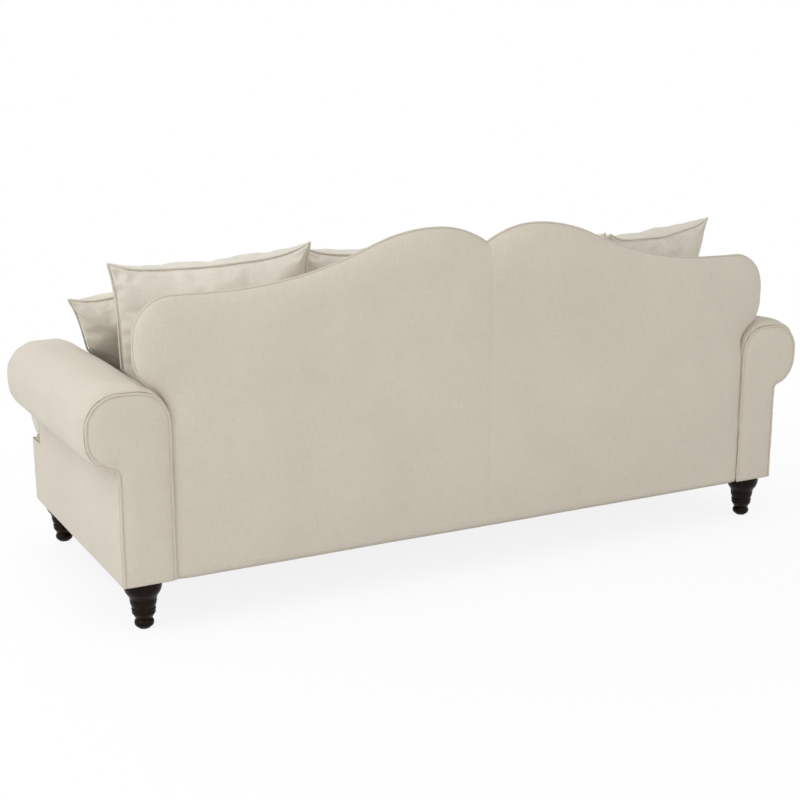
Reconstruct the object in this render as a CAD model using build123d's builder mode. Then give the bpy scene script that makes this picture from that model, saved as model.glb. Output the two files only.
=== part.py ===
from build123d import *
from math import cos, hypot, radians, sin
import os

# A camelback sofa: rolled arms, a winged back with two humps, loose T-shaped
# seat cushions, back pillows and a throw pillow, on four turned feet.
# +Z is up, the front faces -Y, and the origin is on the floor under the middle.
# Depths run forward from the rear plane, levels run up from the base's underside.

# Driving dimensions in millimetres
base_width = 2000
base_depth = 836
foot_height = 122
border_height = 180
cushion_lip = 15
seat_level = 350

# Arms
arm_thickness = 130
arm_setback = 86
roll_width = 202.5
roll_height = 182
roll_top = 464
roll_corner = 80
roll_swell = 14
neck_radius = 12

# Back
hump_level = 797
hump_x = 140
notch_level = 754
notch_radius = 10
shoulder_level = 675
shoulder_x = 690
wing_flare = 74
wing_corner = 92
flare_low = 412
flare_high = 540
back_depth = 100
back_rake = 0.1
back_panel = 27
back_round = 20
post_width = 60

# Pillows
pillow_height = 452
inner_pillow_width = 446
outer_pillow_width = 492
pillow_lean = 16
pillow_ear_level = 762
pillow_ear_depth = 126
throw_size = 420
throw_lean = 38
throw_inset = 100
throw_depth = 540
throw_rise = 112

# Stock thicknesses and clearances
cover = 2
foam = 20
board = 25
former = 18
rail_top = 151
dust_sheet = 1
strap = 2
strap_width = 70
seat_strap_pitch = 160
cross_strap_pitch = 120
back_strap_pitch = 240
slat_width = 70
deck_cloth = 3
piping_radius = 3
gap = 0.3
side_gap = 4
cushion_gap = 3
pillow_gap = 1

# Feet
foot_inset = 60
foot_rear = 50
foot_setback = 51
glide = 3
bolt_radius = 4
nut_radius = 5.2
nut_flange = 11

# Places worked out from the driving dimensions
base_half = base_width / 2
rear_y = (base_depth + cushion_lip) / 2
arm_inner = base_half - arm_thickness
back_half = arm_inner - side_gap
wing_half = back_half + wing_flare
arm_length = base_depth - arm_setback
foot_x = base_half - foot_inset
foot_front = base_depth - foot_setback
frame_half = base_half - cover - gap
wall_board = arm_inner + cover + foam / 2 + 4
welt = 2 * (piping_radius + gap)
roll_middle = roll_top - roll_height / 2
roll_low = roll_top - roll_height
front_rail = base_depth - 5
deck_front = arm_length + 2
rear_rail = back_panel + 28
border_start = back_panel + welt
bolt_clear = bolt_radius + 0.2
sides = {"left": -1, "right": 1}

os.makedirs("parts", exist_ok=True)


def depth(forward):
    """Y of a place so far forward of the rear plane."""
    return rear_y - forward


def level(up):
    """Z of a place so far above the underside of the base."""
    return foot_height + up


def end_plane(side, forward):
    """Upright plane across one arm: x runs outwards, y up from the base's underside."""
    return Plane((0, depth(forward), foot_height), x_dir=(side, 0, 0), z_dir=(0, -side, 0))


def bow(start, end, centre):
    """Arc from start to end about a centre, the short way round."""
    radius = hypot(start[0] - centre[0], start[1] - centre[1])
    across = (start[0] + end[0]) / 2 - centre[0]
    along = (start[1] + end[1]) / 2 - centre[1]
    reach = radius / hypot(across, along)
    return ThreePointArc(start, (centre[0] + reach * across, centre[1] + reach * along), end)


def sway(start, end, share, upright):
    """Two arcs in an S that leave and arrive level, or upright, and meet on the chord."""
    run, climb = end[0] - start[0], end[1] - start[1]
    middle = (start[0] + share * run, start[1] + share * climb)
    swing = (run**2 + climb**2) / (2 * (run if upright else climb))
    first = (start[0] + share * swing, start[1]) if upright else (start[0], start[1] + share * swing)
    rest = (1 - share) * swing
    second = (end[0] - rest, end[1]) if upright else (end[0], end[1] - rest)
    bow(start, middle, first)
    bow(middle, end, second)


def scroll(inset, low):
    """Edge of an arm's end: up the outer wall, round the roll and down the inner wall."""
    outer, inner = base_half - inset, arm_inner + inset
    tip = arm_inner + roll_width - inset
    under, top = roll_top - roll_height + inset, roll_top - inset
    neck, corner = neck_radius + inset, roll_corner - inset
    Line((outer, low), (outer, under - neck))
    bow((outer, under - neck), (outer + neck, under), (outer + neck, under - neck))
    Line((outer + neck, under), (tip - corner, under))
    bow((tip - corner, under), (tip, under + corner), (tip - corner, under + corner))
    Line((tip, under + corner), (tip, top - corner))
    bow((tip, top - corner), (tip - corner, top), (tip - corner, top - corner))
    Line((tip - corner, top), (inner + corner, top))
    bow((inner + corner, top), (inner, top - corner), (inner + corner, top - corner))
    Line((inner, top - corner), (inner, low))


def scroll_face(plane, inset, low):
    """Face inside the arm's end edge, closed along the bottom."""
    with BuildSketch(plane) as face:
        with BuildLine():
            scroll(inset, low)
            Line((arm_inner + inset, low), (base_half - inset, low))
        make_face()
    return face.sketch


def roll_face(plane, swell, inset):
    """Section of the roll, swollen outwards and upwards from its inner wall and underside."""
    wide, high = roll_width + swell, roll_height + swell
    with BuildSketch(plane) as face:
        with Locations((arm_inner + wide / 2, roll_top - roll_height + high / 2)):
            RectangleRounded(wide - 2 * inset, high - 2 * inset, roll_corner + swell / 2 - inset)
    return face.sketch


def wall_face(plane, inner, low, outer):
    """Section of the arm's upright wall below the middle of the roll."""
    with BuildSketch(plane) as face:
        with Locations(((inner + outer) / 2, (low + roll_middle) / 2)):
            Rectangle(outer - inner, roll_middle - low)
    return face.sketch


def roll_sections(side, inset):
    """Sections of the roll from end to end, rounding down to the piping at both ends."""
    stations = [(welt, 0), (24, 0.62), (66, 1)]
    swells = stations + [(arm_length - place, part) for place, part in reversed(stations)]
    return [roll_face(end_plane(side, place), part * roll_swell, inset) for place, part in swells]


def back_edge(half):
    """One half of the back's edge, from the base up the wing and over to the notch."""
    rise = hump_level - notch_level - notch_radius
    hump = (hump_x**2 + rise**2 - notch_radius**2) / (2 * (rise + notch_radius))
    valley = notch_level + notch_radius
    lean = notch_radius / (hump + notch_radius)
    meet = (half * lean * hump_x, valley - lean * (valley - hump_level + hump))
    wing, corner = half * wing_half, half * (wing_half - wing_corner)
    Line((half * back_half, 0), (half * back_half, flare_low))
    sway((half * back_half, flare_low), (wing, flare_high), 0.5, True)
    Line((wing, flare_high), (wing, shoulder_level - wing_corner))
    bow((wing, shoulder_level - wing_corner), (corner, shoulder_level),
        (corner, shoulder_level - wing_corner))
    Line((corner, shoulder_level), (half * shoulder_x, shoulder_level))
    sway((half * shoulder_x, shoulder_level), (half * hump_x, hump_level), 0.56, False)
    bow((half * hump_x, hump_level), meet, (half * hump_x, hump_level - hump))
    bow(meet, (0, notch_level), (0, valley))


def back_plane(forward):
    """Upright plane across the back: x to the right, y up, facing forward."""
    return Plane((0, depth(forward), foot_height), x_dir=(1, 0, 0), z_dir=(0, -1, 0))


def back_face(forward, inset, low=0):
    """Face inside the back's edge above a level, drawn in by an inset."""
    with BuildSketch(back_plane(forward)) as face:
        with BuildLine():
            back_edge(1)
            back_edge(-1)
            Line((-back_half, 0), (back_half, 0))
        make_face()
        if inset:
            offset(amount=-inset, mode=Mode.REPLACE)
        if low:
            with Locations((0, low / 2)):
                Rectangle(base_width, low, mode=Mode.SUBTRACT)
    return face.sketch


def back_front(ahead):
    """The raked front of the back, moved ahead by a distance."""
    return Plane((0, depth(back_depth + ahead), level(hump_level)), x_dir=(1, 0, 0),
                 z_dir=(0, -1, back_rake))


def slab(across, forward, up):
    """Box between two x, two depths and two levels."""
    middle = (sum(across) / 2, depth(sum(forward) / 2), level(sum(up) / 2))
    with Locations(middle):
        Box(across[1] - across[0], forward[1] - forward[0], up[1] - up[0])


def keep(piece, label):
    """Name a finished piece and write it."""
    piece.part.label = label
    export_step(piece.part, f"parts/{label}.step")


# Turned feet: bulb, neck, two beads, vase and flange
def turn(up):
    """Height on the foot, in proportion to the foot's full height."""
    return up * foot_height / 122


feet = {f"{row}_{name}": (side * foot_x, depth(place))
        for row, place in (("front", foot_front), ("rear", foot_rear))
        for name, side in sides.items()}

for name, (x, y) in feet.items():
    with BuildPart() as foot:
        with BuildSketch(Plane((x, y, 0), x_dir=(1, 0, 0), z_dir=(0, -1, 0))):
            with BuildLine():
                Line((0, glide), (16, glide))
                ThreePointArc((16, glide), (22.5, turn(14)), (18, turn(27)))
                Line((18, turn(27)), (21, turn(37)))
                ThreePointArc((21, turn(37)), (26.5, turn(43)), (22, turn(49)))
                ThreePointArc((22, turn(49)), (28.5, turn(55.5)), (22, turn(62)))
                ThreePointArc((22, turn(62)), (31, turn(82)), (28, turn(95)))
                ThreePointArc((28, turn(95)), (34, turn(102)), (45.5, turn(106)))
                ThreePointArc((45.5, turn(106)), (46, turn(112)), (42, foot_height))
                Line((42, foot_height), (bolt_clear, foot_height))
                Line((bolt_clear, foot_height), (bolt_clear, turn(88)))
                Line((bolt_clear, turn(88)), (0, turn(88)))
                Line((0, turn(88)), (0, glide))
            make_face()
        revolve(axis=Axis((x, y, 0), (0, 0, 1)))
    keep(foot, f"foot_{name}")

with BuildPart() as foot_glides:
    with BuildSketch():
        with Locations(*feet.values()):
            Circle(14)
    extrude(amount=glide)
keep(foot_glides, "foot_glides")

with BuildPart() as foot_hanger_bolts:
    with BuildSketch(Plane.XY.offset(turn(90))):
        with Locations(*feet.values()):
            Circle(bolt_radius)
    extrude(amount=foot_height - turn(90) + 45)
keep(foot_hanger_bolts, "foot_hanger_bolts")

with BuildPart() as foot_t_nuts:
    with BuildSketch(Plane.XY.offset(level(dust_sheet))):
        with Locations(*feet.values()):
            Circle(nut_flange)
            Circle(bolt_clear, mode=Mode.SUBTRACT)
    extrude(amount=2)
    with BuildSketch(Plane.XY.offset(level(dust_sheet))):
        with Locations(*feet.values()):
            Circle(nut_radius)
            Circle(bolt_clear, mode=Mode.SUBTRACT)
    extrude(amount=14)
keep(foot_t_nuts, "foot_t_nuts")

# Seat frame: rails on edge, with blocks in the corners that carry the feet
stand = (dust_sheet, rail_top)

with BuildPart() as seat_front_rail:
    slab((-frame_half, frame_half), (front_rail - board, front_rail), stand)
keep(seat_front_rail, "seat_front_rail")

with BuildPart() as seat_inner_rail:
    slab((board - wall_board, wall_board - board), (deck_front - board, deck_front), stand)
keep(seat_inner_rail, "seat_inner_rail")

with BuildPart() as seat_rear_rail:
    slab((board - wall_board, wall_board - board), (rear_rail, rear_rail + board), stand)
keep(seat_rear_rail, "seat_rear_rail")

for name, side in sides.items():
    with BuildPart() as seat_side_rail:
        edges = sorted((side * (wall_board - board), side * wall_board))
        slab(edges, (rear_rail, deck_front), (dust_sheet, rail_top - strap))
    keep(seat_side_rail, f"seat_side_rail_{name}")

with BuildPart() as seat_center_rail:
    slab((-board / 2, board / 2), (rear_rail + board, deck_front - board), (dust_sheet, rail_top - 41))
keep(seat_center_rail, "seat_center_rail")

with BuildPart() as front_deck_board:
    slab((-frame_half, frame_half), (deck_front, front_rail), (rail_top, rail_top + former))
keep(front_deck_board, "front_deck_board")


def foot_blocks(outer, forward, up, place):
    """A pair of blocks, bored and recessed from below for the feet's T-nuts."""
    for side in sides.values():
        slab(sorted((side * wall_board, side * outer)), forward, up)
    below = (Align.CENTER, Align.CENTER, Align.MIN)
    with Locations(*[(side * foot_x, depth(place), level(up[0])) for side in sides.values()]):
        Cylinder(nut_radius + gap, up[1] - up[0], align=below, mode=Mode.SUBTRACT)
        Cylinder(nut_flange + gap, 2 + gap, align=below, mode=Mode.SUBTRACT)


with BuildPart() as front_foot_blocks:
    foot_blocks(frame_half, (deck_front, front_rail - board), stand, foot_front)
keep(front_foot_blocks, "front_foot_blocks")

with BuildPart() as rear_foot_blocks:
    foot_blocks(frame_half - former, (welt + former, foot_rear + 42), (dust_sheet, rail_top - 90), foot_rear)
keep(rear_foot_blocks, "rear_foot_blocks")

# Seat webbing: straps from rear to front over straps from side to side
with BuildPart() as seat_webbing_long:
    strap_run = deck_front - rear_rail
    with BuildSketch(Plane((0, depth(rear_rail + strap_run / 2), level(rail_top)))):
        with GridLocations(seat_strap_pitch, 1, 10, 1):
            Rectangle(strap_width, strap_run)
    extrude(amount=strap)
keep(seat_webbing_long, "seat_webbing_long")

with BuildPart() as seat_webbing_cross:
    with BuildSketch(Plane((0, depth((rear_rail + deck_front) / 2), level(rail_top - strap)))):
        with GridLocations(1, cross_strap_pitch, 1, 5):
            Rectangle(2 * wall_board, strap_width)
    extrude(amount=strap)
keep(seat_webbing_cross, "seat_webbing_cross")

# Deck under the cushions: a pad between the arms with a lip over the front board
pad_low, pad_top = rail_top + strap, border_height - deck_cloth

with BuildPart() as deck_pad:
    slab((-back_half, back_half), (rear_rail + 5, deck_front), (pad_low, pad_top))
    slab((-frame_half, frame_half), (deck_front, front_rail), (rail_top + former, pad_top))
keep(deck_pad, "deck_pad")

with BuildPart() as deck_cover:
    slab((-back_half, back_half), (rear_rail + 5, deck_front), (pad_top, border_height))
    slab((-frame_half, frame_half), (deck_front, front_rail), (pad_top, border_height))
keep(deck_cover, "deck_cover")

with BuildPart() as front_border_cover:
    slab((-base_half, base_half), (front_rail, base_depth), (0, border_height))
    fillet(front_border_cover.edges().group_by(Axis.Y)[0], 4.5)
keep(front_border_cover, "front_border_cover")

with BuildPart() as dust_cover:
    slab((-frame_half, frame_half), (border_start + gap, front_rail), (0, dust_sheet))
    with BuildSketch(Plane.XY.offset(level(0))):
        with Locations(*feet.values()):
            Circle(bolt_radius + 2)
    extrude(amount=dust_sheet, mode=Mode.SUBTRACT)
keep(dust_cover, "dust_cover")

# Arms: scroll formers and slats inside, foam, then the sewn covers
tuck = pad_low + gap
former_inset = cover + gap + foam + gap
arm_run = arm_length - 2 * welt

for name, side in sides.items():
    for row, place in (("rear", welt), ("front", arm_length - welt - former)):
        with BuildPart() as arm_former:
            across = end_plane(side, place)
            extrude(roll_face(across, 0, former_inset), side * former)
            extrude(wall_face(across, wall_board, dust_sheet, frame_half), side * former)
        keep(arm_former, f"arm_former_{row}_{name}")

    with BuildPart() as arm_slats:
        with BuildSketch(end_plane(side, welt + former)):
            with Locations((arm_inner + roll_width / 2, roll_top - former_inset - former / 2)):
                Rectangle(40, former)
            inner_slat, outer_slat = wall_board + former / 2, frame_half - former / 2
            with Locations((inner_slat, roll_low + 18), (outer_slat, roll_low - 52)):
                Rectangle(former, slat_width)
            with Locations((outer_slat, dust_sheet + 50)):
                Rectangle(former, 100)
        extrude(amount=side * (arm_run - 2 * former))
    keep(arm_slats, f"arm_slats_{name}")

    across, run = end_plane(side, welt), side * arm_run
    with BuildPart() as arm_foam:
        loft(roll_sections(side, cover + gap), ruled=True)
        extrude(wall_face(across, arm_inner + cover + gap, tuck, base_half), run)
        extrude(roll_face(across, 0, former_inset - gap), run, mode=Mode.SUBTRACT)
        extrude(wall_face(across, wall_board - gap, tuck, base_half + gap), run, mode=Mode.SUBTRACT)
    keep(arm_foam, f"arm_foam_{name}")

    with BuildPart() as arm_cover:
        loft(roll_sections(side, 0), ruled=True)
        extrude(wall_face(across, arm_inner, tuck, base_half), run)
        loft(roll_sections(side, cover), ruled=True, mode=Mode.SUBTRACT)
        extrude(wall_face(across, arm_inner + cover, tuck, base_half + gap), run, mode=Mode.SUBTRACT)
    keep(arm_cover, f"arm_cover_{name}")

    with BuildPart() as outside_arm_panel:
        with BuildSketch(Plane((side * (base_half - cover), rear_y, foot_height),
                               x_dir=(0, side, 0), z_dir=(side, 0, 0))):
            with BuildLine():
                high = roll_low - gap
                rear, step, front = -side * welt, side * (welt - arm_length), -side * front_rail
                Polyline((rear, 0), (front, 0), (front, border_height), (step, border_height),
                         (step, high), (rear, high), close=True)
            make_face()
        extrude(amount=cover)
    keep(outside_arm_panel, f"outside_arm_panel_{name}")

    for row, place, low in (("rear", 0, 0), ("front", arm_length - welt + gap, border_height + 1)):
        with BuildPart() as arm_end_panel:
            extrude(scroll_face(end_plane(side, place), welt, low), side * (welt - gap))
        keep(arm_end_panel, f"arm_{row}_panel_{name}")

    with BuildPart() as arm_piping:
        for place, low in ((welt / 2, 1), (arm_length - welt / 2, border_height + 1)):
            with BuildLine(end_plane(side, place)) as seam:
                scroll(welt / 2, low)
            with BuildSketch(Plane(seam.wire() @ 0, z_dir=seam.wire() % 0)):
                Circle(piping_radius)
            sweep(path=seam.wire())
    keep(arm_piping, f"arm_piping_{name}")

# Back frame: a shaped top rail on posts, with webbing over it
post_top = shoulder_level - 75
rail_low, rail_high = border_height + 6, border_height + 76
frame_depth = (back_panel, rear_rail)

with BuildPart() as back_top_rail:
    extrude(back_face(back_panel, former, post_top), rear_rail - back_panel)
keep(back_top_rail, "back_top_rail")

with BuildPart() as back_bottom_rail:
    between = back_half - former - post_width
    slab((-between, between), frame_depth, (rail_low, rail_high))
keep(back_bottom_rail, "back_bottom_rail")

for name, side in sides.items():
    with BuildPart() as back_post:
        edges = sorted((side * (back_half - former - post_width), side * (back_half - former)))
        slab(edges, frame_depth, (dust_sheet, post_top))
    keep(back_post, f"back_post_{name}")

with BuildPart() as back_post_center:
    slab((-post_width / 2, post_width / 2), frame_depth, (rail_high, post_top))
keep(back_post_center, "back_post_center")

with BuildPart() as back_webbing:
    web_low, web_top = border_height + 20, post_top + 40
    with BuildSketch(back_plane(rear_rail)):
        with Locations((0, (web_low + web_top) / 2)):
            with GridLocations(back_strap_pitch, 1, 6, 1):
                Rectangle(strap_width, web_top - web_low)
    extrude(amount=strap)
keep(back_webbing, "back_webbing")

# Back covers: foam and sewn cover are cups over the frame, piped to the outside back
back_low = border_height + 1


def back_body(inset):
    """Back from its border seam to its raked front, drawn in by an inset."""
    extrude(back_face(border_start, inset), back_depth + 0.2 * hump_level)
    split(bisect_by=back_front(-inset), keep=Keep.BOTTOM)
    split(bisect_by=Plane.XY.offset(level(back_low)), keep=Keep.TOP)
    rim = faces().sort_by(Axis.Y)[0].edges()
    fillet(rim.sort_by(Axis.Z)[1:], back_round - inset)


with BuildPart() as back_foam:
    back_body(cover + gap)
    pocket = rear_rail + strap + gap - border_start
    extrude(back_face(border_start, former - gap), pocket, mode=Mode.SUBTRACT)
keep(back_foam, "back_foam")

with BuildPart() as back_core:
    back_body(cover)

with BuildPart() as inside_back_cover:
    back_body(0)
    add(back_core.part, mode=Mode.SUBTRACT)
keep(inside_back_cover, "inside_back_cover")

with BuildPart() as outside_back:
    extrude(back_face(0, 0), back_panel)
    rim = outside_back.faces().sort_by(Axis.Y)[-1].edges()
    fillet(rim.sort_by(Axis.Z)[1:], back_round)

for name, side in sides.items():
    with BuildPart() as outside_back_panel:
        add(outside_back.part)
        split(bisect_by=Plane.YZ.offset(side * gap), keep=Keep.TOP if side > 0 else Keep.BOTTOM)
    keep(outside_back_panel, f"outside_back_panel_{name}")

with BuildPart() as back_piping:
    with BuildLine(back_plane(back_panel + welt / 2)) as seam:
        back_edge(1)
        back_edge(-1)
    with BuildSketch(Plane(seam.wire() @ 0, z_dir=seam.wire() % 0)):
        Circle(piping_radius)
    sweep(path=seam.wire())
keep(back_piping, "back_piping")

# Seat cushions: T-shaped pair with an ear in front of each arm, soft at the edges
cushion_rear = back_depth + back_rake * (hump_level - border_height) + pillow_gap * 4
cushion_front = base_depth + cushion_lip

for name, side in sides.items():
    with BuildPart() as seat_cushion:
        high = seat_level - border_height
        for up, inset in ((gap, 16), (20, 3), (45, 0), (high - 42, 0), (high - 14, 6), (high, 24)):
            near, wall = cushion_gap / 2 + inset, back_half - inset
            tip = base_half - cover - inset
            back, step, nose = cushion_rear + inset, deck_front + inset, cushion_front - inset
            with BuildSketch(Plane.XY.offset(level(border_height + up))) as section:
                with BuildLine():
                    corners = ((near, back), (wall, back), (wall, step), (tip, step), (tip, nose),
                               (near, nose))
                    Polyline([(side * x, depth(forward)) for x, forward in corners], close=True)
                make_face()
                notch = section.vertices().sort_by_distance((side * wall, depth(step)))[0]
                fillet([corner for corner in section.vertices() if corner != notch], 20)
        loft(ruled=True)
    keep(seat_cushion, f"seat_cushion_{name}")


# Pillows: drawn-in sides, pointed ears and a crown, flat where they rest
def pillow_plane(x, forward, up, lean, yaw, roll):
    """Plane of a pillow's seam, leaning back, turned about the upright and rolled in itself."""
    tilt, turned = radians(lean), radians(yaw)
    facing = (cos(tilt) * sin(turned), -cos(tilt) * cos(turned), sin(tilt))
    flat = Plane((x, depth(forward), level(up)), x_dir=(cos(turned), sin(turned), 0), z_dir=facing)
    return flat.rotated((0, 0, roll))


def pillow_sections(seam, wide, high, front, rear):
    """Sections from the rear crown over the seam to the front crown."""
    shape = ((-rear, 0.27, -0.05), (-0.85 * rear, 0.13, -0.02), (-0.5 * rear, 0.045, 0.015),
             (0, 0, 0.035), (0.3 * front, 0.035, 0.01), (0.62 * front, 0.11, -0.025),
             (0.88 * front, 0.22, -0.045), (front, 0.34, -0.04))
    sections = []
    for out, drawn, dip in shape:
        x, y = wide * (0.5 - drawn), high * (0.5 - drawn)
        with BuildSketch(seam.offset(out)) as section:
            with BuildLine():
                ThreePointArc((-x, -y), (0, -y + dip * high), (x, -y))
                ThreePointArc((x, -y), (x - dip * wide, 0), (x, y))
                ThreePointArc((x, y), (0, y - dip * high), (-x, y))
                ThreePointArc((-x, y), (-x + dip * wide, 0), (-x, -y))
            make_face()
        sections.append(section.sketch)
    return sections


def clear_arm(side):
    """Flatten a pillow where it lies against an arm."""
    across, run = end_plane(side, 0), side * arm_length
    extrude(roll_face(across, roll_swell, -pillow_gap), run, mode=Mode.SUBTRACT)
    extrude(wall_face(across, arm_inner - pillow_gap, 0, base_half), run, mode=Mode.SUBTRACT)


seat_plane = Plane.XY.offset(level(seat_level + gap))
half_rise = pillow_height / 2 * cos(radians(pillow_lean))
half_run = pillow_height / 2 * sin(radians(pillow_lean))
pillow_places = {
    "outer_left": (170 - arm_inner, 62, 15, -1),
    "inner_left": (-220, 0, 0, 1),
    "inner_right": (227, 0, 0, -1),
    "outer_right": (arm_inner - 168, 18, -5, 2),
}

for name, (x, ahead, yaw, roll) in pillow_places.items():
    side = sides[name.split("_")[1]]
    outer = name.startswith("outer")
    wide = outer_pillow_width if outer else inner_pillow_width
    with BuildPart() as back_pillow:
        seam = pillow_plane(x, pillow_ear_depth + half_run + ahead, pillow_ear_level - half_rise,
                            pillow_lean, yaw, roll)
        loft(pillow_sections(seam, wide, pillow_height, 100, 44), ruled=True)
        split(bisect_by=seat_plane, keep=Keep.TOP)
        split(bisect_by=back_front(pillow_gap), keep=Keep.TOP)
        if outer:
            clear_arm(side)
    keep(back_pillow, f"back_pillow_{name}")

with BuildPart() as throw_pillow:
    seam = pillow_plane(arm_inner - throw_inset, throw_depth, seat_level + throw_rise, throw_lean, -6, -10)
    loft(pillow_sections(seam, throw_size, throw_size, 66, 60), ruled=True)
    split(bisect_by=seat_plane, keep=Keep.TOP)
    clear_arm(1)
keep(throw_pillow, "throw_pillow")
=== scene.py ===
"""Camelback sofa with scroll arms: the upholstery as number-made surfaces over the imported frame."""
from math import pi

import bmesh
import bpy
import numpy as np
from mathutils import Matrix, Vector


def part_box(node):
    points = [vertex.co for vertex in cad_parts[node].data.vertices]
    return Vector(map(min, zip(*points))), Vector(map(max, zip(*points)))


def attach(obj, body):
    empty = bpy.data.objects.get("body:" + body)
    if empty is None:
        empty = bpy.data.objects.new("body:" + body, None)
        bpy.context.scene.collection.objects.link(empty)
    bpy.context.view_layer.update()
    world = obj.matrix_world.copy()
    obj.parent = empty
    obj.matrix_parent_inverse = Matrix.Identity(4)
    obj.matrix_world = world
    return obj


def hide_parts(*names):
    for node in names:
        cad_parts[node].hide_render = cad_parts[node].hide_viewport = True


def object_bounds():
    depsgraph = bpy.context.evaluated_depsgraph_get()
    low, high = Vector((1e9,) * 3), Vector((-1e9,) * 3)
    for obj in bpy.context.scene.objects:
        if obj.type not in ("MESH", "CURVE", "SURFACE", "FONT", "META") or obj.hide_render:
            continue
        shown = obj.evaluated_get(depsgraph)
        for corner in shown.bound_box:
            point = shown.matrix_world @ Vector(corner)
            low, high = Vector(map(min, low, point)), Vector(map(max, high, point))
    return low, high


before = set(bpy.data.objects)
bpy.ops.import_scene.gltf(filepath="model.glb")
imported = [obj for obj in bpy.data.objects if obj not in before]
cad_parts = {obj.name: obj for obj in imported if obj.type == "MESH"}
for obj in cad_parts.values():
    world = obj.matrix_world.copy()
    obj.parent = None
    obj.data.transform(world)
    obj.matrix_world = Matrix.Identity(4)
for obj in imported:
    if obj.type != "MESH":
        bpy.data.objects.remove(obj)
cad_box = [list(corner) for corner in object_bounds()]

bl_info = {
    "name": "Camelback Sofa",
    "version": (1, 0, 0),
    "blender": (4, 5, 0),
    "location": "View3D > Sidebar > Sofa",
    "description": "Dresses the packed sofa frame with piped linen covers, cushions and pillows",
    "category": "Object",
}

# The frame's main lines in metres: levels run up from the underside of the base,
# "forward" runs from the rear plane of the back towards the seat.
REAR = cad_box[1][1]
BASE = 0.122
BASE_HALF, BASE_DEPTH = 1.0, 0.836
BORDER_TOP, SEAT_TOP = 0.180, 0.350
ARM_INNER, ARM_LENGTH = 0.870, 0.750
ROLL_WIDTH, ROLL_HEIGHT, ROLL_TOP, ROLL_CORNER = 0.2025, 0.182, 0.464, 0.080
ROLL_LOW = ROLL_TOP - ROLL_HEIGHT
BACK_HALF, WING_HALF, WING_CORNER = 0.866, 0.943, 0.096
FLARE_LOW, FLARE_HIGH = 0.390, 0.540
SHOULDER_X, SHOULDER = 0.750, 0.672
HUMP_X, HUMP, NOTCH, NOTCH_RADIUS = 0.148, 0.795, 0.752, 0.010
BACK_FRONT, BACK_RAKE = 0.100, 0.1
FOOT_X, FOOT_FRONT, FOOT_REAR = 0.94, 0.785, 0.050

# Level at which the covers beside the seat start; then the outside panel of an arm: its rear end,
# its step below the front of the roll, its front end and its top.
COVER_LOW = 0.181
PANEL_REAR, PANEL_STEP, PANEL_FRONT, PANEL_TOP = 0.0042, 0.7434, 0.8355, 0.2835

# Width of a piped seam, thickness of a cover, width of the rounding at a hem,
# and depth and width of the rounding at a front corner of the base.
WELT, CLOTH, HEM = 0.0066, 0.0016, 0.006
CORNER_FALL, CORNER_WIDTH = 0.010, 0.014

# How far a tight cover of the base stands off its rails, and how far it wavers.
OFF, WAVER = 0.0004, 0.0004

SIDES = ((1, "right"), (-1, "left"))


def measure(name, description, default):
    """Property that holds a length in metres."""
    return bpy.props.FloatProperty(name=name, description=description, default=default, unit="LENGTH")


def tint(name, description, default):
    """Property that holds a colour as seen."""
    return bpy.props.FloatVectorProperty(
        name=name, description=description, default=default, subtype="COLOR_GAMMA", size=3)


class SofaSizes(bpy.types.PropertyGroup):
    """Sizes of the upholstery that a maker would change."""
    piping: measure("Piping radius", "Radius of the covered cord along the seams", WELT / 2)
    neck: measure("Neck radius", "Hollow curve below the roll of an arm", 0.014)
    swell: measure("Roll swell", "How far the padded roll stands over its ends", 0.014)
    side_round: measure("Side rounding", "Width of the rounding beside the arms", 0.046)
    wing_round: measure("Wing rounding", "Width of the soft rounding at the wings", 0.135)
    top_round: measure("Top rounding", "Width of the rounding below the humps", 0.085)
    puff: measure("Panel puff", "How far the middle of the outside back stands proud", 0.004)
    weave: measure("Weave pitch", "Distance from thread to thread of the linen", 0.0016)


class SofaColours(bpy.types.PropertyGroup):
    """Colours of the finishes, as seen."""
    linen: tint("Linen", "Upholstery linen", (0.815, 0.780, 0.720))
    pillow: tint("Pillow linen", "Linen of the loose pillows", (0.850, 0.822, 0.770))
    piping: tint("Piping", "Bias-cut cover of the piping", (0.800, 0.765, 0.705))
    foot: tint("Foot stain", "Dark stain of the turned feet", (0.105, 0.066, 0.036))


def spread(*values):
    """Points whose numbers are the given arrays, each drawn out to the shape that they share."""
    return np.stack(np.broadcast_arrays(*values), -1)


def place(x, forward, up):
    """Points of the model from x, the distance forward of the rear plane and the level."""
    return spread(x, REAR - forward, BASE + up).astype(float)


def unit(steps):
    """Directions of the given steps: each divided by its length."""
    return steps / np.linalg.norm(steps, axis=1, keepdims=True)


def eased(count):
    """Shares from 0 to 1 by half a cosine wave, close together at both ends."""
    return (1 - np.cos(np.linspace(0, pi, count))) / 2


def smooth(low, high, value):
    """Even S from 0 at low to 1 at high: 3t squared less 2t cubed."""
    t = np.clip((value - low) / (high - low), 0, 1)
    return t * t * (3 - 2 * t)


def rounding(distance, width):
    """Quarter ellipse: 1 at the edge, falling upright at first and level at the given width."""
    t = np.clip(1 - distance / width, 0, 1)
    return 1 - np.sqrt(1 - t * t)


def ripple(first, second, seed, waves=5):
    """Uneven ripple of about one: a sum of slanted sines with seeded pitches and shifts."""
    rng = np.random.default_rng(seed)
    pitch = rng.uniform(0.5, 1.6, (waves, 2)) * rng.choice((-1, 1), (waves, 2))
    shift = rng.uniform(0, 2 * pi, waves)
    first, second = np.broadcast_arrays(first, second)
    angle = first[..., None] * pitch[:, 0] + second[..., None] * pitch[:, 1] + shift
    return np.sin(angle).sum(-1) / np.sqrt(waves)


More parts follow.
